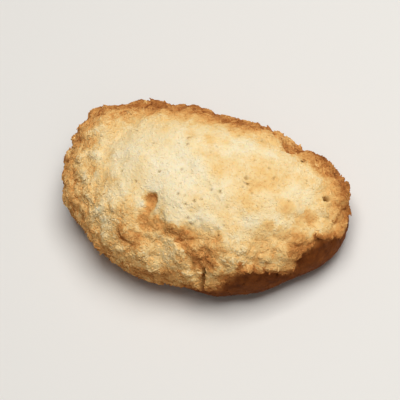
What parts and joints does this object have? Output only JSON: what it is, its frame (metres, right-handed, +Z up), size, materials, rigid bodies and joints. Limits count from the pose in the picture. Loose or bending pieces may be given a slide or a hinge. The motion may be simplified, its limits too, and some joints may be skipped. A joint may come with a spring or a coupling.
{
  "type": "coconut macaroon",
  "caption": "Oval baked coconut macaroon with a flat underside, a pressed flank and a craggy, toasted top of bound coconut flakes; lies on a plate or in a tray.",
  "frame": {"origin": "middle of the bounding box at the underside, on the surface that the macaroon lies on", "axes": "+X along the macaroon to its tapered end, -Y to the side with the torn crag in the top, +Z up"},
  "size_m": [0.08, 0.048, 0.0304],
  "materials": {
    "baked_coconut": "matte"
  },
  "bodies": {
    "root": {"macaroon": "baked_coconut"}
  },
  "joints": []
}
